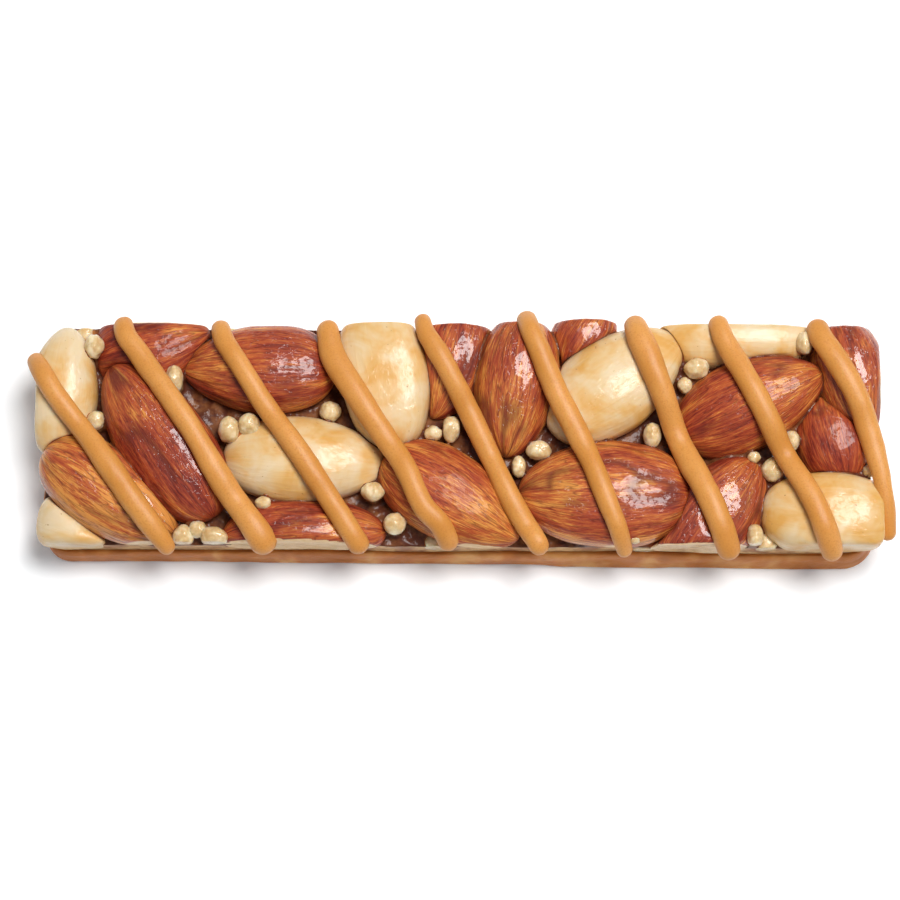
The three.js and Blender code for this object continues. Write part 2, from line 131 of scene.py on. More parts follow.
BLANCHED_NUTS = {
    "blanched_nut_1": Nut([-53.2, 5.8, 9.3], [17.8, 9.4, 8.6], 86, 3, 0, OVAL, tint=0.3),
    "blanched_nut_2": Nut([-51.3, -12.0, 7.8], [9.8, 9.6, 7.8], 172, 0, 0, CHUNK, tint=0.2,
                          heart=(-2.0, -1.0, 1.4), soft=16),
    "blanched_nut_3": Nut([-20.5, -3.5, 9.6], [21.8, 11.8, 8.2], -2, 0, -3, OVAL, tint=0.4),
    "blanched_nut_4": Nut([-9.9, 7.4, 9.7], [18.6, 12.0, 8.4], -79, 2, 0, CHUNK, tint=0.5),
    "blanched_nut_5": Nut([21.0, 7.2, 9.8], [21.6, 12.8, 8.6], 36, 0, -4, OVAL, tint=0.3, proud=0.6),
    "blanched_nut_6": Nut([37.4, 13.7, 8.8], [21.4, 8.6, 7.4], 1, 0, 0, SLIVER, tint=0.7, proud=0.35),
    "blanched_nut_7": Nut([49.1, -10.6, 9.3], [17.4, 11.6, 8.8], 176, 0, 0, CHUNK, tint=1.1),
}
NUT_RINGS = 110
NUT_SPOKES = 96
NUT_CLEARANCE = 0.12  # between two nuts that touch
CUT_ROUNDING = 0.3  # of the edges where a nut is cut or meets another
CUT_ROUGHNESS = 0.06  # of the cut faces, in fine lumps
CUT_WAVES = 0.2  # and in broad ones
FLUTE_WIDTH = 1.5
FLUTE_LENGTH = 11.0
FLUTE_DEPTH = 0.15
RIDGE_DEPTH = 0.35  # of the fine ridges between the flutes, as a share of theirs
PALE_FLUTES = 0.25  # how deep a pale nut's flutes are, as a share of an almond's
LUMP_WIDTH = 6.5
LUMP_HEIGHT = 0.2

# ---- crisps and syrup -----------------------------------------------------------------------------------

CRISP_DIAMETER = 3.2  # of those in the cut faces
CRISP_HEIGHT = 10.2  # of the middle of those on the top, where no nut lifts them
# The crisps on the top: x and y of the middle, and how long they are along x and along y.
TOP_CRISPS = [
    (-48.8, 11.7, 2.5, 3.4), (-48.4, 1.5, 2.5, 2.6), (-38.0, 7.2, 2.4, 3.7), (-30.6, 0.3, 2.9, 3.8),
    (-27.9, 0.9, 3.2, 3.2), (-17.1, 3.1, 2.9, 2.9), (-11.3, -7.9, 3.1, 2.7), (-8.3, -12.2, 3.0, 2.9),
    (-36.4, -13.9, 3.0, 3.0), (-34.6, -13.0, 2.5, 2.4), (-32.3, -14.1, 3.5, 2.8), (-0.9, 0.8, 2.5, 3.5),
    (-3.3, 0.2, 2.4, 2.0), (10.8, -2.1, 3.4, 2.6), (8.1, -4.3, 2.0, 3.0), (26.0, 0.1, 2.5, 3.4),
    (31.9, 9.1, 3.3, 2.9), (30.4, 7.0, 2.0, 2.2), (46.4, 12.6, 2.1, 3.3), (44.6, -0.6, 2.2, 2.9),
    (42.0, -4.5, 3.0, 3.3), (39.5, -2.9, 1.8, 1.6), (39.4, -13.7, 2.2, 3.2), (23.4, -14.2, 1.8, 1.5),
    (-25.8, -9.6, 2.2, 1.8), (54.9, -4.6, 2.0, 1.8),
]
# Those in the cut faces: x, y and height of the middle.
SIDE_CRISPS = [
    (-30.6, 14.2, 7.4), (-27.0, 14.4, 5.6), (27.4, 14.3, 7.8), (46.2, 14.2, 6.4), (-3.0, -14.2, 7.6),
    (24.8, -14.0, 6.6), (41.2, -14.1, 7.8), (-56.0, -4.6, 7.4), (55.9, -4.2, 7.6), (-50.4, 14.2, 7.2),
]
CRISP_RINGS = 22
CRISP_SPOKES = 32
CRISP_PUFF = 0.1  # how uneven a crisp is, as a share of its size
CRISP_WRINKLES = 0.045  # and how wrinkled
CRISP_SINK = 0.7  # how far a crisp has sunk between the nuts on which it leans
CRISP_RISE = 1.4  # the most that a crisp sits above its CAD place, where it leans on nuts
SYRUP_STEP = 0.28  # spacing of the syrup's grid
SYRUP_INSET = 0.3  # how far the syrup lies under the nuts' skins, where nuts cover it
SYRUP_EDGE = 0.12  # and how far inside the block's sides
SYRUP_LEVEL = 8.5  # of the open syrup, a little below its CAD level
SYRUP_CRUMBS = 0.3  # height of the lumps in it
SYRUP_RIPPLE = 0.05
SYRUP_FILLET = 0.75  # radius of the hollow in which the syrup meets what stands in it
SYRUP_ABSORPTION = np.array([0.8, 1.9, 3.2])  # of red, green and blue, for each millimetre
SYRUP_DEEP = np.array([0.085, 0.022, 0.010])
SYRUP_OVER_PALE = [0.62, 0.40, 0.17]  # a pale nut or a crisp that shows through
SYRUP_OVER_DARK = [0.24, 0.06, 0.02]
SYRUP_SIDE_PALE = np.array([0.68, 0.42, 0.19])  # where the cut went through syrup full of crumbs
SYRUP_SIDE_DARK = np.array([0.34, 0.13, 0.045])
SYRUP_SIDE_RINGS = 16  # rows of faces down its sides
SYRUP_SIDE_WAVES = 0.0015  # how uneven they are, as a share of the distance from the middle

# ---- the drizzle ----------------------------------------------------------------------------------------

BEAD_SPOKES = 28
BEAD_STEP = 0.25
BEAD_TOP = 0.43  # of the width, above the middle line
BEAD_UNDERSIDE = 0.33  # of the width, below it
BEAD_SINK = 0.3  # how far the underside has sunk into what it lies on
BEAD_BEND = 5.0  # the least radius to which a bead bends where it bridges a gap
BEAD_SWELL = 0.035  # how much the width wanders
BEAD_LUMPS = 0.07
BEAD_EVENING = 4  # how far its line is evened out, in steps


def far_end(x, out):
    """A far end that hangs a little over the side at this x and y."""
    return [(x - 0.6, out + 0.05, 11.2), (x - 0.4, out - 0.7, 12.5), (x, out - 2.6)]


def near_end(x, out, lean):
    """A near end with its tip at x, leaning to the left by a share of the way back from there."""
    return [(x - 3 * lean, 2.15 - out), (x - lean, 0.15 - out, 12.4), (x, -0.85 - out, 10.8)]


LEFT_END = [(-56.9, 10.3, 10.4), (-56.5, 9.3, 12.0)]
RIGHT_END = [(56.3, -6.6, 12.4), (57.0, -10.6, 11.2), (57.1, -14.0, 9.8)]
# For each bead its widths, evenly spaced from the far end to the near one, and its plan points. A point
# with a third number hangs at that height beside the block, and the others lie on what is under them.
BEADS = [
    ((2.1, 2.8, 2.8, 2.7, 3.0, 3.3, 3.2, 3.2, 3.0, 2.0),
     [*LEFT_END, (-55.0, 6.9), (-53.5, 4.4), (-50.0, 0), (-46.7, -4.4), (-43.3, -9.2),
      *near_end(-38.0, 15.3, 0.78)]),
    ((2.5, 2.8, 3.0, 3.0, 3.1, 2.9, 3.1, 3.4, 3.3, 3.6, 3.7),
     [*far_end(-44.5, 15.1), (-43.6, 11.6), (-39.4, 5.6), (-35.2, -0.5), (-31.2, -7.1),
      *near_end(-25.0, 15.0, 0.68)]),
    ((2.3, 2.8, 2.9, 2.7, 2.9, 2.9, 3.0, 3.0, 2.9, 2.9, 3.0),
     [*far_end(-31.5, 14.7), (-30.1, 10.2), (-26.3, 4.1), (-21.6, -2.4), (-17.5, -8.5),
      *near_end(-12.6, 15.0, 0.67)]),
    ((2.8, 3.2, 3.5, 3.5, 3.4, 3.2, 3.0, 2.9, 2.9, 2.9, 2.5),
     [*far_end(-17.2, 14.75), (-16.6, 9.6), (-12.2, 2.6), (-7.5, -4.3), (-4.6, -10.5),
      *near_end(-0.8, 14.6, 0.55)]),
    ((2.0, 2.5, 2.8, 2.9, 3.0, 3.1, 2.9, 2.9, 3.0, 2.9, 2.5),
     [*far_end(-4.4, 15.8), (-2.9, 10.9), (0.8, 4.1), (4.1, -2.7), (7.1, -9.2),
      *near_end(11.2, 15.1, 0.6)]),
    ((2.6, 2.8, 3.1, 3.1, 3.3, 3.3, 2.9, 2.9, 2.8, 2.6, 2.1),
     [*far_end(9.5, 16.1), (10.4, 11.6), (13.3, 4.5), (16.8, -2.4), (19.5, -9.4),
      *near_end(22.3, 15.4, 0.4)]),
    ((2.7, 3.4, 3.5, 3.3, 3.1, 3.2, 3.3, 3.1, 3.3, 3.2, 3.0),
     [*far_end(24.0, 15.5), (24.9, 10.9), (27.5, 4.1), (30.2, -2.7), (33.5, -9.7),
      *near_end(36.2, 15.6, 0.42)]),
    ((2.5, 2.9, 3.1, 3.1, 3.1, 3.0, 2.9, 3.0, 3.0, 3.2, 2.7),
     [*far_end(35.2, 15.7), (36.3, 10.9), (39.6, 4.4), (42.9, -2.0), (46.5, -8.6),
      *near_end(49.8, 15.7, 0.42)]),
    ((2.9, 3.2, 3.3, 3.1, 3.2, 3.2, 2.3, 2.3, 2.2),
     [*far_end(48.5, 15.2), (49.8, 10.7), (53.1, 4.4), (55.1, -1.4), *RIGHT_END]),
]

# ---- the coat -------------------------------------------------------------------------------------------

COAT_STEP = 0.4  # spacing of the points round the outline
COAT_OUT = 0.55  # how far the coat stands out from the block
COAT_IN = 0.35  # how far it reaches under the nuts, inside the rim
COAT_RIM = 5.2
COAT_WAVES = [(0.5, 9, 0.4), (0.35, 17, 2.1)]  # height, waves round the bar, phase
COAT_FLARE = 0.4  # how much further out its foot stands
COAT_SLANT = 1.1  # how much more it flares at the right of the near side than at the left
COAT_LEAST_FLARE = -0.25  # the least that the slant adds to the flare
COAT_RIPPLE = 0.14
COAT_FOOT = 0.09  # where the rounding of the foot ends, as a share of the height
COAT_LIP = 0.72  # where the rounding of the rim begins
# The heights of the rings of its side, as shares of the rim's height.
COAT_RINGS = [0.0, 0.02, 0.05, 0.09, 0.15, 0.24, 0.35, 0.47, 0.6, 0.72, 0.83, 0.91, 0.96, 0.99]


# ---- noise ----------------------------------------------------------------------------------------------

class Noise:
    """Smooth seeded noise from -1 to 1, one lump to a unit of space."""

    CELLS = 32

    def __init__(self, seed):
        self.values = np.random.default_rng(seed).uniform(-1, 1, (self.CELLS,) * 3)

    def __call__(self, points):
        cell = np.floor(points).astype(int)
        share = points - cell
        share = share * share * (3 - 2 * share)
        total = 0
        for corner in np.ndindex(2, 2, 2):
            weight = np.prod(np.where(corner, share, 1 - share), axis=-1)
            index = (cell + corner) % self.CELLS
            total = total + weight * self.values[index[..., 0], index[..., 1], index[..., 2]]
        return total

    def layers(self, points, count=2):
        """Finer and finer layers of noise, each half as high."""
        return sum(self(points * 2**layer + 7.3 * layer) / 2**layer for layer in range(count))


# ---- meshes ---------------------------------------------------------------------------------------------

def joined(parts):
    """The points and faces of several (points, faces) parts as one."""
    points = np.concatenate([part[0] for part in parts])
    starts = np.cumsum([0] + [len(part[0]) for part in parts[:-1]])
    faces = [tuple(int(i) + start for i in face) for (_, each), start in zip(parts, starts) for face in each]
    return points, faces


def make_piece(name, parts, material, replaced, attributes=None):
    """One piece from (points, faces) parts in millimetres, riding on the bar's body."""
    points, faces = joined(parts)
    mesh = bpy.data.meshes.new(name)
    mesh.from_pydata([tuple(p) for p in (points + BLOCK_MIDDLE) * MM], [], faces)
    mesh.polygons.foreach_set("use_smooth", [True] * len(mesh.polygons))
    for key, values in (attributes or {}).items():
        values = np.asarray(values, np.float32)
        if values.ndim == 1:
            mesh.attributes.new(key, "FLOAT", "POINT").data.foreach_set("value", values)
        else:
            mesh.attributes.new(key, "FLOAT_VECTOR", "POINT").data.foreach_set("vector", values.ravel())
    mesh.materials.append(material)
    mesh.update()
    piece = bpy.data.objects.new(name, mesh)
    bpy.context.scene.collection.objects.link(piece)
    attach(piece, "root")
    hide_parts(*replaced)


def tube_faces(rings, spokes):
    """Faces of a closed tube: an end point, rings of spokes points, and the other end point."""
    k = np.arange(spokes)
    after = (k + 1) % spokes
    start = 1 + np.arange(rings - 1)[:, None] * spokes
    corners = [start + k, start + after, start + spokes + after, start + spokes + k]
    quads = np.stack(corners, -1).reshape(-1, 4)
    last = 1 + (rings - 1) * spokes
    first_cap = np.stack([np.zeros_like(k), after + 1, k + 1], -1)
    last_cap = np.stack([last + k, last + after, np.full_like(k, last + spokes)], -1)
    return [*first_cap, *quads, *last_cap]


# ---- nuts -----------------------------------------------------------------------------------------------

def block_outside(points, margin=0.0, proud=0.0):
    """How far points lie outside the block's rounded outline in plan, which is longer above the coat."""
    raised = np.clip((points[..., 2] - OVERHANG_FROM) / OVERHANG_SPAN, 0, 1)
    raised = raised * raised * (3 - 2 * raised)
    radius = BLOCK_CORNER + (NUTS_CORNER - BLOCK_CORNER) * raised
    half_length = BLOCK_LENGTH / 2 + margin + END_OVERHANG * raised - radius
    half_width = BLOCK_WIDTH / 2 + margin + proud * raised * (points[..., 1] > 0) - radius
    beyond = np.stack([np.abs(points[..., 0]) - half_length, np.abs(points[..., 1]) - half_width], -1)
    return np.linalg.norm(np.maximum(beyond, 0), axis=-1) + np.minimum(beyond.max(-1), 0) - radius


def first_crossing(start, toward, outside, steps=28):
    """Where rays from start to toward first leave the region in which outside is negative, as a share."""
    shares = np.linspace(0, 1, steps + 1)
    values = np.stack([outside(start + (toward - start) * share) for share in shares])
    crossed = values > 0
    at = np.argmax(crossed, axis=0)
    before = np.maximum(at - 1, 0)
    low = np.take_along_axis(values, before[None], 0)[0]
    high = np.take_along_axis(values, at[None], 0)[0]
    part = np.clip(-low / np.maximum(high - low, 1e-9), 0, 1)
    return np.where(crossed.any(axis=0), (before + part) / steps, np.inf)


def smooth_min(a, b, rounding):
    """The lesser of two values, with the change from one to the other rounded off."""
    blend = np.clip(0.5 + (b - a) / (2 * rounding), 0, 1)
    return b + (a - b) * blend - rounding * blend * (1 - blend)


def nut_grid(nut):
    """Place along the axis, direction round it, and the unit section of every point of a nut's grid."""
    along = -np.cos(np.pi * np.arange(1, NUT_RINGS + 1) / (NUT_RINGS + 1))
    angle = 2 * np.pi * np.arange(NUT_SPOKES) / NUT_SPOKES
    along = np.concatenate([[-1], np.repeat(along, NUT_SPOKES), [1]])
    angle = np.concatenate([[0], np.tile(angle, NUT_RINGS), [0]])
    soften = lambda value: np.sign(value) * np.abs(value) ** (2 / nut.form["square"])
    return along, angle, soften(np.cos(angle)), soften(np.sin(angle))


def flutes(nut, along, angle, seed):
    """The relief of a nut's skin: low lumps, and flutes that run together at its ends."""
    noise = Noise(seed)
    radius = (nut.half_width + nut.half_thickness) / 2
    grain = np.stack([np.cos(angle) * radius, np.sin(angle) * radius, along * nut.half_length], -1)
    lumps = LUMP_HEIGHT * noise.layers(grain / LUMP_WIDTH)
    bend = 0.5 * noise(grain / 5 + 11)[..., None]
    lines = noise(grain / [FLUTE_WIDTH, FLUTE_WIDTH, FLUTE_LENGTH] + bend)
    grooves = np.exp(-(lines / 0.16) ** 2) * np.clip(0.5 + 1.6 * noise(grain / 4 + 31), 0, 1)
    ridges = RIDGE_DEPTH * noise(grain / [0.9, 0.9, 7] + 23)
    strength = FLUTE_DEPTH if nut.form in (ALMOND, BLUNT_ALMOND) else FLUTE_DEPTH * PALE_FLUTES
    return lumps - strength * (grooves - 0.4 + ridges), grain, grooves


def even_out(values, passes):
    """Values on a nut's grid, each averaged with its neighbours time after time."""
    grid = values[1:-1].reshape(NUT_RINGS, NUT_SPOKES)
    for _ in range(passes):
        grid = (np.roll(grid, 1, 1) + np.roll(grid, -1, 1) + 2 * grid) / 4
        padded = np.pad(grid, ((1, 1), (0, 0)), mode="edge")
        grid = (padded[:-2] + padded[2:] + 2 * grid) / 4
    return np.concatenate([values[:1], grid.ravel(), values[-1:]])


def nut_points(nut, above, seed, inset=0.0):
    """The points of a nut's surface, cut by the block's sides and dented by the nuts that lie over it."""
    along, angle, across, upward = nut_grid(nut)
    relief, grain, grooves = flutes(nut, along, angle, seed)
    reach = nut.reach(along)
    if inset:
        relief = np.zeros_like(relief)
    radius = reach * np.hypot(nut.half_width * across, nut.half_thickness * upward)
    swell = 1 + (relief - inset) * np.minimum(radius, 1) / np.maximum(radius, 1e-6)
    local = np.stack([
        (nut.half_length - inset) * along,
        nut.half_width * reach * across * swell,
        nut.half_thickness * reach * upward * swell,
    ], -1)
    points = local @ nut.turn.T + nut.at
    rays = points - nut.heart
    length = np.linalg.norm(rays, axis=-1)
    rough = Noise(seed + 500)

    def sides(p):
        return (block_outside(p, -inset, nut.proud)
                + CUT_ROUGHNESS * rough.layers(p / 1.2) + CUT_WAVES * rough(p / 5))

    cut = first_crossing(nut.heart, points, sides) * length
    depth = np.clip(length - cut, 0, 3)
    kept = smooth_min(length, np.minimum(cut, 1e3), CUT_ROUNDING)
    for other in above:
        if np.linalg.norm(other.at - nut.at) > other.half_length + nut.half_length:
            continue

        def within_other(p):
            return NUT_CLEARANCE + inset - other.outside(p)

        met = first_crossing(nut.heart, points, within_other) * length
        kept = smooth_min(kept, np.minimum(met, 1e3), CUT_ROUNDING)
    share = even_out(kept / np.maximum(length, 1e-9), nut.soft)
    points = nut.heart + rays * share[:, None]
    return points, {"grain": grain, "cut": depth, "groove": grooves}


# ---- materials ------------------------------------------------------------------------------------------

class Shader:
    """A material whose nodes are added one at a time."""

    def __init__(self, name):
        self.material = bpy.data.materials.new(name)
        self.material.use_nodes = True
        self.tree = self.material.node_tree
        self.surface = self.tree.nodes["Principled BSDF"]

    def add(self, kind, inputs=None, **settings):
        node = self.tree.nodes.new("ShaderNode" + kind)
        for key, value in settings.items():
            setattr(node, key, value)
        self.connect(node, inputs or {})
        return node

    def connect(self, node, inputs):
        for key, value in inputs.items():
            if isinstance(value, bpy.types.NodeSocket):
                self.tree.links.new(value, node.inputs[key])
            else:
                node.inputs[key].default_value = value

    def attribute(self, name, output="Fac"):
        return self.add("Attribute", attribute_name=name).outputs[output]

    def place(self):
        """The place on the bar, in millimetres."""
        coordinates = self.add("TexCoord").outputs["Object"]
        return self.add("VectorMath", {0: coordinates, "Scale": 1 / MM}, operation="SCALE").outputs[0]

    def noise(self, where, scale, detail=3.0, roughness=0.55, distortion=0.0):
        inputs = {"Vector": where, "Scale": scale, "Detail": detail, "Roughness": roughness,
                  "Distortion": distortion}
        return self.add("TexNoise", inputs).outputs["Fac"]

    def stretch(self, where, factors):
        return self.add("VectorMath", {0: where, 1: factors}, operation="MULTIPLY").outputs[0]

    def math(self, operation, *values):
        return self.add("Math", dict(enumerate(values)), operation=operation).outputs[0]

    def ramp(self, value, *stops):
        """A colour ramp from (position, colour) stops, or a grey one where the colours are numbers."""
        node = self.add("ValToRGB", {"Fac": value})
        elements = node.color_ramp.elements
        while len(elements) < len(stops):
            elements.new(0.5)
        for element, (position, colour) in zip(elements, stops):
            element.position = position
            grey = not isinstance(colour, tuple)
            element.color = (colour, colour, colour, 1) if grey else (*colour, 1)
        return node.outputs["Color"]

    def mix(self, share, a, b):
        node = self.add("Mix", data_type="RGBA", blend_type="MIX")
        for index, value in ((0, share), (6, a), (7, b)):
            if isinstance(value, bpy.types.NodeSocket):
                self.tree.links.new(value, node.inputs[index])
            else:
                node.inputs[index].default_value = value if index == 0 else (*value, 1)
        return node.outputs[2]

    def bump(self, height, distance, normal=None):
        inputs = {"Height": height, "Distance": distance * MM, "Strength": 1.0}
        if normal is not None:
            inputs["Normal"] = normal
        return self.add("Bump", inputs).outputs["Normal"]

    def finish(self, inputs):
        self.connect(self.surface, inputs)
        return self.material


def glaze_normal(shader, where, coarse=0.1, fine=0.035):
    """The uneven surface of a thin sugar glaze, whose lumps and pits break up the highlights."""
    lumps = shader.noise(where, 0.45, 2.0, 0.5, 0.4)
    pits = shader.ramp(shader.noise(where, 1.5, 2.0, 0.6, 0.5), (0.55, 1.0), (0.68, 0.0))
    smooth = shader.bump(lumps, coarse)
    return shader.bump(pits, fine, normal=smooth)


def almond_material():
    shader = Shader("almond_skin")
    where = shader.place()
    grain = shader.attribute("grain", "Vector")
    patches = shader.noise(shader.stretch(grain, (0.3, 0.3, 0.13)), 1.0, 3.0, 0.55, 0.6)
    veins = shader.noise(shader.stretch(grain, (3.4, 3.4, 0.30)), 1.0, 3.0, 0.65, 0.6)
    fibres = shader.noise(shader.stretch(grain, (9.0, 9.0, 1.1)), 1.0, 2.0, 0.6, 0.6)
    level = shader.math("MULTIPLY_ADD", shader.attribute("tint"), 0.4, patches)
    level = shader.math("MULTIPLY_ADD", veins, 0.9, level)
    level = shader.math("MULTIPLY_ADD", fibres, 0.5, level)
    skin = shader.ramp(
        shader.math("MULTIPLY", level, 0.5),
        (0.50, (0.13, 0.013, 0.008)),
        (0.57, (0.25, 0.030, 0.013)),
        (0.65, (0.38, 0.064, 0.020)),
        (0.73, (0.51, 0.125, 0.028)),
        (0.80, (0.70, 0.280, 0.055)),
    )
    threads = shader.noise(shader.stretch(grain, (1.5, 1.5, 0.14)), 1.0, 2.0, 0.55, 0.4)
    from_thread = shader.math("ABSOLUTE", shader.math("SUBTRACT", threads, 0.5))
    thread = shader.ramp(from_thread, (0.0, 0.65), (0.035, 0.0))
    dark = shader.math("MAXIMUM", shader.math("MULTIPLY", shader.attribute("groove"), 0.75), thread)
    grooved = shader.mix(dark, skin, (0.10, 0.013, 0.007))
    flesh = shader.ramp(shader.noise(where, 0.9, 3.0), (0.3, (0.74, 0.46, 0.20)), (0.7, (0.84, 0.59, 0.31)))
    cut = shader.ramp(shader.attribute("cut"), (0.06, 0.0), (0.14, 1.0))
    return shader.finish({
        "Base Color": shader.mix(cut, grooved, flesh),
        "Roughness": 0.5,
        "Specular IOR Level": 0.15,
        "Subsurface Weight": 0.06,
        "Subsurface Radius": (1.0, 0.35, 0.12),
        "Subsurface Scale": 0.8 * MM,
        "Normal": shader.bump(veins, 0.1),
        "Coat Weight": shader.attribute("gloss"),
        "Coat Roughness": 0.06,
        "Coat IOR": 1.55,
        "Coat Normal": glaze_normal(shader, where, 0.07, 0.045),
    })


def blanched_material():
    shader = Shader("blanched_nut_flesh")
    where = shader.place()
    grain = shader.attribute("grain", "Vector")
    tint = shader.attribute("tint")
    lines = shader.noise(shader.stretch(grain, (0.8, 0.8, 0.12)), 1.0, 3.0, 0.6, 0.8)
    patches = shader.noise(where, 0.2, 3.0, 0.55, 0.5)
    level = shader.math("MULTIPLY_ADD", lines, 0.18, shader.math("ADD", patches, -0.1))
    level = shader.math("MULTIPLY_ADD", tint, 0.15, level)
    flesh = shader.ramp(
        level,
        (0.40, (0.75, 0.58, 0.36)),
        (0.52, (0.73, 0.52, 0.27)),
        (0.62, (0.72, 0.45, 0.18)),
        (0.74, (0.68, 0.36, 0.09)),
    )
    specks = shader.ramp(shader.noise(where, 1.9, 2.0, 0.5), (0.72, 0.0), (0.77, 0.7))
    return shader.finish({
        "Base Color": shader.mix(specks, flesh, (0.34, 0.15, 0.05)),
        "Roughness": 0.5,
        "Specular IOR Level": 0.2,
        "Subsurface Weight": 0.2,
        "Subsurface Radius": (1.0, 0.6, 0.3),
        "Subsurface Scale": 1.2 * MM,
        "Normal": shader.bump(lines, 0.12),
        "Coat Weight": 0.6,
        "Coat Roughness": 0.19,
        "Coat IOR": 1.5,
        "Coat Normal": glaze_normal(shader, where, 0.12, 0.03),
    })


def syrup_material():
    shader = Shader("set_syrup")
    where = shader.place()
    crumbs = shader.ramp(shader.noise(where, 0.55, 3.0, 0.6), (0.44, 0.0), (0.64, 0.75))
    colour = shader.mix(crumbs, shader.attribute("glaze", "Vector"), (0.26, 0.095, 0.032))
    return shader.finish({
        "Base Color": colour,
        "Roughness": 0.5,
        "Specular IOR Level": 0.1,
        "Coat Weight": 0.32,
        "Coat Roughness": 0.08,
        "Coat IOR": 1.5,
        "Coat Normal": glaze_normal(shader, where, 0.08, 0.04),
    })


def crisp_material():
    shader = Shader("glazed_crisp")
    where = shader.place()
    mottle = shader.noise(where, 0.8, 3.0, 0.6)
    colour = shader.ramp(
        mottle,
        (0.32, (0.58, 0.37, 0.15)),
        (0.50, (0.71, 0.52, 0.27)),
        (0.68, (0.84, 0.71, 0.47)),
    )
    return shader.finish({
        "Base Color": colour,
        "Roughness": 0.45,
        "Specular IOR Level": 0.2,
        "Subsurface Weight": 0.5,
        "Subsurface Radius": (1.0, 0.7, 0.4),
        "Subsurface Scale": 1.0 * MM,
        "Coat Weight": 0.9,
        "Coat Roughness": 0.12,
        "Coat IOR": 1.5,
        "Coat Normal": glaze_normal(shader, where, 0.12, 0.09),
    })


def drizzle_material():
    shader = Shader("caramel_drizzle")
    where = shader.place()
    broad = shader.noise(where, 0.15, 2.0, 0.5)
    speckle = shader.noise(where, 4.2, 3.0, 0.7)
    base = shader.ramp(broad, (0.35, (0.62, 0.255, 0.047)), (0.65, (0.70, 0.312, 0.074)))
    dots = shader.ramp(speckle, (0.36, 0.45), (0.50, 0.0))
    return shader.finish({
        "Base Color": shader.mix(dots, base, (0.50, 0.170, 0.032)),
        "Roughness": 0.42,
        "Specular IOR Level": 0.38,
        "Subsurface Weight": 0.2,
        "Subsurface Radius": (1.0, 0.5, 0.2),
        "Subsurface Scale": 1.0 * MM,
        "Normal": shader.bump(speckle, 0.03),
    })


def coat_material():
    shader = Shader("caramel_coat")
    where = shader.place()
    blotches = shader.noise(shader.stretch(where, (0.22, 0.22, 0.12)), 1.0, 2.0, 0.5, 0.3)
    # Painted light: the coat's colour is pushed lighter in its lowest millimetre, fading out with height, as
    # the lit lower edge of its foot.
    height = shader.add("SeparateXYZ", {"Vector": where}).outputs["Z"]
    painted_lit_foot = shader.math("MULTIPLY", shader.ramp(height, (0.0, 1.0), (1.0, 0.0)), 0.12)
    colour = shader.ramp(
        shader.math("ADD", blotches, painted_lit_foot),
        (0.36, (0.46, 0.145, 0.030)),
        (0.50, (0.57, 0.190, 0.042)),
        (0.68, (0.72, 0.340, 0.105)),
    )
    ripples = shader.noise(where, 0.5, 3.0, 0.5)
    return shader.finish({
        "Base Color": colour,
        "Roughness": 0.45,
        "Specular IOR Level": 0.1,
        "Subsurface Weight": 0.2,
        "Subsurface Radius": (1.0, 0.5, 0.2),
        "Subsurface Scale": 1.0 * MM,
        "Normal": shader.bump(ripples, 0.3),
    })


# ---- syrup and crisps -----------------------------------------------------------------------------------

def height_finder(parts, missing):
    """How high the given surfaces stand at each of many points in plan."""
    points, faces = joined(parts)
    owners = np.repeat(np.arange(len(parts)), [len(part[1]) for part in parts])
    tree = BVHTree.FromPolygons([tuple(p) for p in points], faces)
    down = Vector((0, 0, -1))

    def heights(places):
        found = np.full(len(places), float(missing))
        owner = np.full(len(places), -1)
        for i, (x, y) in enumerate(places):
            hit, _, face, _ = tree.ray_cast(Vector((x, y, 40)), down)
            if hit is not None:
                found[i] = hit.z
                owner[i] = owners[face]
        return found, owner

    return heights


def roll_ball(heights, radius, step):
    """Fills a height field wherever a ball of this radius can't reach."""
    span = int(radius / step)
    offsets = np.arange(-span, span + 1) * step
    drop = radius - np.sqrt(np.maximum(radius**2 - offsets[:, None] ** 2 - offsets**2, 0))
    inside = offsets[:, None] ** 2 + offsets**2 <= radius**2
    padded = np.pad(heights, 2 * span, mode="edge")

    def sweep(field, pick, sign):
        size = (field.shape[0] - 2 * span, field.shape[1] - 2 * span)
        result = np.full(size, -sign * np.inf)
        for i, j in zip(*np.nonzero(inside)):
            shifted = field[i:i + size[0], j:j + size[1]] - sign * drop[i, j]
            result = pick(result, shifted)
        return result

    return sweep(sweep(padded, np.maximum, 1), np.minimum, -1)


def crisp_points(middle, size, index, inset=0.0):
    """A puffed, slightly wrinkled ball, cut where it would stand out of the block."""
    noise = Noise(900 + index)
    polar = np.pi * np.arange(1, CRISP_RINGS + 1) / (CRISP_RINGS + 1)
    polar = np.concatenate([[0], np.repeat(polar, CRISP_SPOKES), [np.pi]])
    round_once = 2 * np.pi * np.arange(CRISP_SPOKES) / CRISP_SPOKES
    angle = np.concatenate([[0], np.tile(round_once, CRISP_RINGS), [0]])
    unit = np.stack([np.sin(polar) * np.cos(angle), np.sin(polar) * np.sin(angle), -np.cos(polar)], -1)
    puffed = 1 + CRISP_PUFF * noise.layers(unit * 1.3) + CRISP_WRINKLES * noise.layers(unit * 3.6)
    points = unit * puffed[:, None] * (np.array(size) / 2 - inset) + middle
    limit = np.array([BLOCK_LENGTH, BLOCK_WIDTH]) / 2 - 0.05 - inset
    points[:, :2] = np.clip(points[:, :2], -limit, limit)
    return points


def lying_height(x, y, reach, ground):
    """How high the middle of a crisp is, where it leans on the nuts round it."""
    steps = [(a, b) for a in range(-4, 5) for b in range(-4, 5) if a * a + b * b < 25]
    offsets = np.array(steps) * reach / 5
    rise = np.sqrt(reach**2 - (offsets**2).sum(1))
    under, _ = ground(offsets + [x, y])
    return float(np.clip((under + rise).max() - CRISP_SINK, CRISP_HEIGHT, CRISP_HEIGHT + CRISP_RISE))


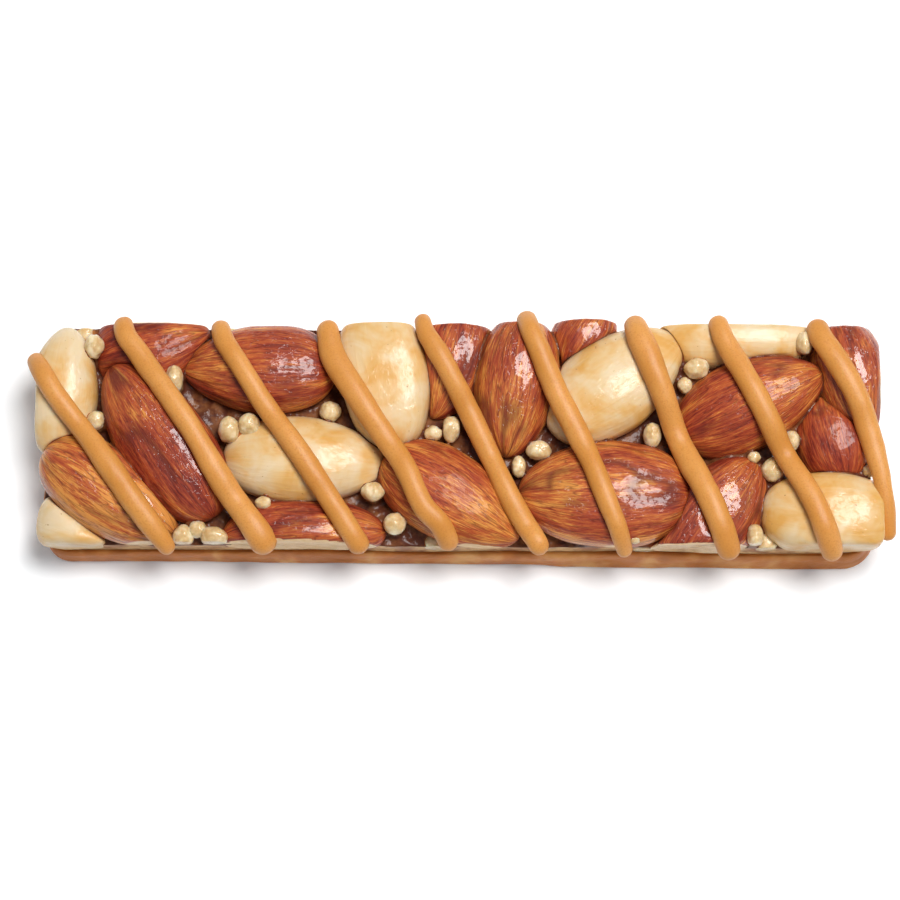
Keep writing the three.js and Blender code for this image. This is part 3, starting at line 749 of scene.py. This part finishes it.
def make_crisps(ground):
    """The crisps, and a smaller copy of each that the syrup closes round."""
    places = []
    for x, y, along_x, along_y in TOP_CRISPS:
        height = lying_height(x, y, (along_x + along_y) / 4, ground)
        places.append(((x, y, height), (along_x, along_y, (along_x + along_y) / 2)))
    places.extend((place, (CRISP_DIAMETER,) * 3) for place in SIDE_CRISPS)
    faces = tube_faces(CRISP_RINGS, CRISP_SPOKES)
    parts = [(crisp_points(*place, index), faces) for index, place in enumerate(places)]
    shallow = [(crisp_points(*place, index, SYRUP_INSET), faces) for index, place in enumerate(places)]
    return parts, shallow


def glaze_colours(kinds, thickness):
    """The colour of syrup over what lies under it: the thicker, the darker."""
    under = np.where((kinds == 1)[:, None], SYRUP_OVER_PALE, SYRUP_OVER_DARK)
    through = np.exp(-np.maximum(thickness, 0)[:, None] * SYRUP_ABSORPTION)
    return under * through + SYRUP_DEEP * (1 - through)


def syrup_plan():
    """A grid of places over the block, drawn in at its corners to the block's rounded ones."""
    across = int(BLOCK_LENGTH / SYRUP_STEP)
    deep = int(BLOCK_WIDTH / SYRUP_STEP)
    x = np.linspace(-BLOCK_LENGTH / 2 + SYRUP_EDGE, BLOCK_LENGTH / 2 - SYRUP_EDGE, across)
    y = np.linspace(-BLOCK_WIDTH / 2 + SYRUP_EDGE, BLOCK_WIDTH / 2 - SYRUP_EDGE, deep)
    plan = np.stack(np.meshgrid(x, y, indexing="ij"), -1)
    corner = np.array([BLOCK_LENGTH, BLOCK_WIDTH]) / 2 - BLOCK_CORNER
    beyond = np.maximum(np.abs(plan) - corner, 0)
    far = np.linalg.norm(beyond, axis=-1, keepdims=True)
    square = beyond.max(-1, keepdims=True)
    return np.sign(plan) * (np.minimum(np.abs(plan), corner) + beyond * square / np.maximum(far, 1e-9))


def syrup_sides(top, edge, noise):
    """Rows of points from the edge of the syrup's top down to its underside, and the faces of both."""
    rows, faces, upper = [], [], edge
    for number in range(1, SYRUP_SIDE_RINGS + 1):
        share = number / SYRUP_SIDE_RINGS
        ring = top[edge].copy()
        ring[:, 2] = ring[:, 2] * (1 - share) + COAT_FLOOR * share
        ring[:, :2] *= 1 + SYRUP_SIDE_WAVES * noise.layers(ring / 1.5)[:, None]
        lower = len(top) + len(rows) * len(edge) + np.arange(len(edge))
        faces.extend(np.stack([upper, np.roll(upper, -1), np.roll(lower, -1), lower], -1)[:, ::-1])
        rows.append(ring)
        upper = lower
    rows.append(np.array([[0, 0, COAT_FLOOR]]))
    centre = np.full(len(edge), len(top) + SYRUP_SIDE_RINGS * len(edge))
    faces.extend(np.stack([upper, centre, np.roll(upper, -1)], -1))
    return np.concatenate(rows), faces


def make_syrup(shallow_nuts, kinds, crisps):
    """The syrup between the nuts: its top is a height field that rises where it meets what stands in it."""
    plan = syrup_plan()
    across, deep = plan.shape[:2]
    heights, owner = height_finder([*shallow_nuts, *crisps], COAT_FLOOR)(plan.reshape(-1, 2))
    kind = np.array([*kinds, *[1] * len(crisps)])[owner]
    noise = Noise(77)
    crumbs = SYRUP_CRUMBS * noise.layers(np.dstack([plan, np.zeros((across, deep))]) / 1.5)
    level = np.maximum(heights.reshape(across, deep), SYRUP_LEVEL + crumbs)
    filled = roll_ball(level, SYRUP_FILLET, SYRUP_STEP)
    thickness = filled.ravel() - heights
    top = np.dstack([plan, filled])
    top[..., 2] += SYRUP_RIPPLE * noise.layers(top / 1.4)
    top = top.reshape(-1, 3)
    index = np.arange(across * deep).reshape(across, deep)
    quads = np.stack([index[:-1, :-1], index[1:, :-1], index[1:, 1:], index[:-1, 1:]], -1).reshape(-1, 4)
    edge = np.concatenate([index[:, 0], index[-1, 1:], index[-2::-1, -1], index[0, -2:0:-1]])
    sides, side_faces = syrup_sides(top, edge, noise)
    pale = np.clip(0.9 + 1.1 * noise.layers(sides / 2.5), 0, 1)[:, None]
    side_colours = pale * SYRUP_SIDE_PALE + (1 - pale) * SYRUP_SIDE_DARK
    faces = [tuple(face) for face in [*quads, *side_faces]]
    colours = np.concatenate([glaze_colours(kind, thickness), side_colours])
    return (np.concatenate([top, sides]), faces), colours


# ---- the drizzle ----------------------------------------------------------------------------------------

def smooth_curve(points, step):
    """A Catmull-Rom curve through the points, as points about step apart."""
    points = np.array(points, float)
    padded = np.concatenate([[2 * points[0] - points[1]], points, [2 * points[-1] - points[-2]]])
    share = np.linspace(0, 1, 40, endpoint=False)[:, None]
    runs = []
    for a, b, c, d in zip(padded, padded[1:], padded[2:], padded[3:]):
        runs.append(0.5 * (2 * b + (c - a) * share + (2 * a - 5 * b + 4 * c - d) * share**2
                           + (3 * b - a - 3 * c + d) * share**3))
    dense = np.concatenate([*runs, points[-1:]])
    length = np.concatenate([[0], np.cumsum(np.linalg.norm(np.diff(dense, axis=0), axis=1))])
    even = np.linspace(0, length[-1], max(int(length[-1] / step), 2) + 1)
    return np.stack([np.interp(even, length, dense[:, k]) for k in range(dense.shape[1])], -1)


def smoothed(values, reach):
    """Values averaged with their neighbours, by a bell of the given reach in samples."""
    span = np.arange(-3 * reach, 3 * reach + 1)
    bell = np.exp(-0.5 * (span / reach) ** 2)
    padded = np.pad(values, 3 * reach, mode="reflect", reflect_type="odd")
    return np.convolve(padded, bell / bell.sum(), mode="valid")


def bead_line(widths, points, ground):
    """The bead's middle line: hung points as given, and the rest laid on the bar, bridging its gaps."""
    width = sum(widths) / len(widths)
    laid_at = [i for i, point in enumerate(points) if len(point) == 2]
    first, last = laid_at[0], laid_at[-1]
    plan = smooth_curve(points[first:last + 1], BEAD_STEP)
    along = np.gradient(plan, axis=0)
    along /= np.linalg.norm(along, axis=1, keepdims=True)
    side = np.stack([-along[:, 1], along[:, 0]], -1)
    shares = (-0.32, -0.16, 0, 0.16, 0.32)  # of the width, where the bead rests on what is under it
    under = np.max([ground(plan + side * width * share)[0] for share in shares], axis=0)
    apart = ((plan[:, None] - plan[None]) ** 2).sum(-1)
    carried = (under[None] - apart / (2 * BEAD_BEND)).max(axis=1)
    height = smoothed(carried, BEAD_EVENING) + BEAD_UNDERSIDE * width - BEAD_SINK
    laid = np.column_stack([plan, height])[::4]
    line = smooth_curve([*points[:first], *laid, *points[last + 1:]], BEAD_STEP)
    return np.stack([smoothed(line[:, k], BEAD_EVENING) for k in range(3)], -1)


def bead_points(line, widths, seed):
    """A bead swept along its middle line, with round ends and a width that wanders."""
    noise = Noise(seed)
    count = len(line)
    along = np.gradient(line, axis=0)
    along = np.stack([smoothed(along[:, k], BEAD_EVENING) for k in range(3)], -1)
    along /= np.linalg.norm(along, axis=1, keepdims=True)
    chord = line[-1] - line[0]
    flat = np.array([-chord[1], chord[0], 0]) / np.hypot(chord[0], chord[1])
    side = flat - (along @ flat)[:, None] * along
    side /= np.linalg.norm(side, axis=1, keepdims=True)
    up = np.cross(along, side)
    up *= np.sign(up[count // 2, 2])
    travelled = np.arange(count) * BEAD_STEP
    swell = 1 + BEAD_SWELL * noise.layers(np.column_stack([travelled / 6, np.zeros(count), np.zeros(count)]))
    stations = np.linspace(0, travelled[-1], len(widths))
    width = smoothed(np.interp(travelled, stations, widths), 6) * swell
    radius = width / 2
    from_end = np.minimum(travelled, travelled[-1] - travelled)
    cap = np.sqrt(np.clip(1 - (1 - np.minimum(from_end / radius, 1)) ** 2, 0, 1))
    inner = slice(1, count - 1)
    angle = 2 * np.pi * np.arange(BEAD_SPOKES) / BEAD_SPOKES
    across = np.cos(angle)
    rise = np.where(np.sin(angle) > 0, BEAD_TOP, BEAD_UNDERSIDE) * np.sin(angle)
    scale = cap[inner, None]
    rings = (
        line[inner, None]
        + side[inner, None] * (radius[inner, None] * scale * across)[..., None]
        + up[inner, None] * (width[inner, None] * scale * rise)[..., None]
    )
    lumps = BEAD_LUMPS * noise.layers(rings / 2.6)
    rings += (rings - line[inner, None]) / np.maximum(radius[inner, None, None], 1e-6) * lumps[..., None]
    points = np.concatenate([line[:1], rings.reshape(-1, 3), line[-1:]])
    return points, tube_faces(count - 2, BEAD_SPOKES)


# ---- the coat -------------------------------------------------------------------------------------------

def outline_points(step):
    """Points and outward directions round the block's outline, evenly spaced."""
    half = np.array([BLOCK_LENGTH, BLOCK_WIDTH]) / 2 - BLOCK_CORNER
    points, outward = [], []
    for k, (sx, sy) in enumerate([(1, 1), (-1, 1), (-1, -1), (1, -1)]):
        turns = np.linspace(k, k + 1, 9) * np.pi / 2
        arc = np.stack([np.cos(turns), np.sin(turns)], -1)
        points.extend(np.array([sx, sy]) * half + BLOCK_CORNER * arc)
        outward.extend(arc)
        following = [(-1, 1), (-1, -1), (1, -1), (1, 1)][k]
        start = points[-1]
        end = np.array(following) * half + BLOCK_CORNER * arc[-1]
        inner = int(np.linalg.norm(end - start) / step)
        for share in np.arange(1, inner) / inner:
            points.append(start + (end - start) * share)
            outward.append(arc[-1])
    return np.array(points), np.array(outward)


def rim_height(x, y):
    """How high the coat's wavy rim stands at a place on the outline."""
    angle = np.arctan2(y / BLOCK_WIDTH, x / BLOCK_LENGTH)
    return COAT_RIM + sum(height * np.sin(waves * angle + phase) for height, waves, phase in COAT_WAVES)


def make_coat():
    """A tray of caramel under the block: a flat sole, a rounded foot, a side that ripples and a thin lip."""
    plan, outward = outline_points(COAT_STEP)
    noise = Noise(301)
    rim = rim_height(plan[:, 0], plan[:, 1])
    nearness = np.maximum(-plan[:, 1], 0) / (BLOCK_WIDTH / 2)
    slant = COAT_SLANT * nearness * plan[:, 0] / BLOCK_LENGTH
    flare = COAT_FLARE + np.maximum(slant, COAT_LEAST_FLARE)
    rings = []
    for share in COAT_RINGS:
        foot = math.sqrt(max(0, 1 - (1 - min(share / COAT_FOOT, 1)) ** 2))
        lip = math.sqrt(max(0, 1 - max(0, (share - COAT_LIP) / (1 - COAT_LIP)) ** 2))
        height = rim * share
        ripple = noise.layers(np.column_stack([plan / 5, height / 3]))
        out = (COAT_OUT + flare * (1 - share) ** 1.8 + COAT_RIPPLE * ripple) * lip
        out += 0.02 - 0.6 * (1 - foot)
        rings.append(np.column_stack([plan + outward * out[:, None], height]))
    inner = plan - outward * COAT_IN
    rings.append(np.column_stack([inner, rim * 0.98]))
    rings.append(np.column_stack([inner, np.full(len(plan), COAT_FLOOR)]))
    points = np.concatenate([[[0, 0, 0]], *rings, [[0, 0, COAT_FLOOR]]])
    return points, tube_faces(len(rings), len(plan))


# ---- the bar --------------------------------------------------------------------------------------------

def make_bar():
    """All the pieces: the nuts from the highest to the lowest, then what lies between, on and under them."""
    order = sorted({**ALMONDS, **BLANCHED_NUTS}.items(), key=lambda item: -item[1].at[2])
    almond_skin = almond_material()
    blanched_flesh = blanched_material()
    nut_faces = tube_faces(NUT_RINGS, NUT_SPOKES)
    shallow, solid, kinds, above = [], [], [], []
    for index, (name, nut) in enumerate(order):
        is_almond = name in ALMONDS
        points, attributes = nut_points(nut, above, index)
        attributes["tint"] = np.full(len(points), nut.tint)
        attributes["gloss"] = np.full(len(points), nut.gloss)
        material = almond_skin if is_almond else blanched_flesh
        make_piece(name + "_look", [(points, nut_faces)], material, [name], attributes)
        solid.append((points, nut_faces))
        shallow.append((nut_points(nut, above, index, SYRUP_INSET)[0], nut_faces))
        kinds.append(0 if is_almond else 1)
        above.append(nut)
    crisps, shallow_crisps = make_crisps(height_finder(solid, SYRUP_TOP))
    syrup, colours = make_syrup(shallow, kinds, shallow_crisps)
    make_piece("set_syrup", [syrup], syrup_material(), ["syrup_and_crisps"], {"glaze": colours})
    make_piece("crisps", crisps, crisp_material(), ["syrup_and_crisps"])
    ground = height_finder([*solid, syrup, *crisps], SYRUP_TOP)
    caramel = drizzle_material()
    for index, (widths, route) in enumerate(BEADS, 1):
        line = bead_line(widths, route, ground)
        bead = bead_points(line, widths, 40 + index)
        make_piece(f"drizzle_bead_{index}", [bead], caramel, [f"drizzle_{index}"])
    make_piece("coat", [make_coat()], coat_material(), ["caramel_coat"])


# ---- stage, light and camera ----------------------------------------------------------------------------

TARGET = np.array([-1.07, -1.35, 7.0])
CAMERA_DISTANCE = 404.0
CAMERA_ELEVATION = 78.0
CAMERA_ROLL = 0.3
CAMERA_LENS = 120.0  # on a sensor 36 mm wide
LIGHT_DISTANCE = 700.0


def make_camera():
    camera = bpy.data.objects.new("camera", bpy.data.cameras.new("camera"))
    elevation = math.radians(CAMERA_ELEVATION)
    target = Vector((TARGET + BLOCK_MIDDLE) * MM)
    offset = Vector((0, -math.cos(elevation), math.sin(elevation)))
    camera.location = target + offset * CAMERA_DISTANCE * MM
    aim = (-offset).to_track_quat("-Z", "Y").to_matrix()
    camera.rotation_euler = (aim @ Matrix.Rotation(math.radians(CAMERA_ROLL), 3, "Z")).to_euler()
    camera.data.lens = CAMERA_LENS
    camera.data.sensor_width = 36.0
    camera.data.clip_start = 0.01
    bpy.context.scene.collection.objects.link(camera)
    bpy.context.scene.camera = camera


def area_light(name, direction, size, radiance):
    """A square light that shines on the bar from a direction, as bright as the given radiance."""
    data = bpy.data.lights.new(name, "AREA")
    data.shape = "SQUARE"
    data.size = size * MM
    data.energy = radiance * math.pi * data.size**2
    light = bpy.data.objects.new(name, data)
    light.location = Vector(direction).normalized() * LIGHT_DISTANCE * MM
    light.rotation_euler = Vector(direction).to_track_quat("Z", "Y").to_euler()
    bpy.context.scene.collection.objects.link(light)
    return light


def make_stage():
    bpy.ops.mesh.primitive_plane_add(size=8)
    floor = bpy.context.object
    floor.name = "floor"
    shader = Shader("floor_white")
    floor.data.materials.append(shader.finish({
        "Base Color": (0.95, 0.95, 0.95, 1),
        "Roughness": 0.9,
        "Specular IOR Level": 0.0,
        "Emission Color": (0.78, 0.90, 1.0, 1),
        "Emission Strength": 0.11,
    }))
    # The key gives the light and the short shadows, and the softbox gives the broad highlights.
    area_light("key", (0.22, 0.16, 0.96), 260, 24.0).visible_glossy = False
    area_light("softbox", (0.341, 0.221, 0.914), 380, 13.0).visible_diffuse = False
    world = bpy.data.worlds.new("studio")
    world.use_nodes = True
    background = world.node_tree.nodes["Background"]
    background.inputs["Color"].default_value = (0.90, 0.95, 1.0, 1)
    background.inputs["Strength"].default_value = 0.27
    bpy.context.scene.world = world
    bpy.context.scene.view_settings.view_transform = "Standard"


make_bar()
make_stage()
make_camera()
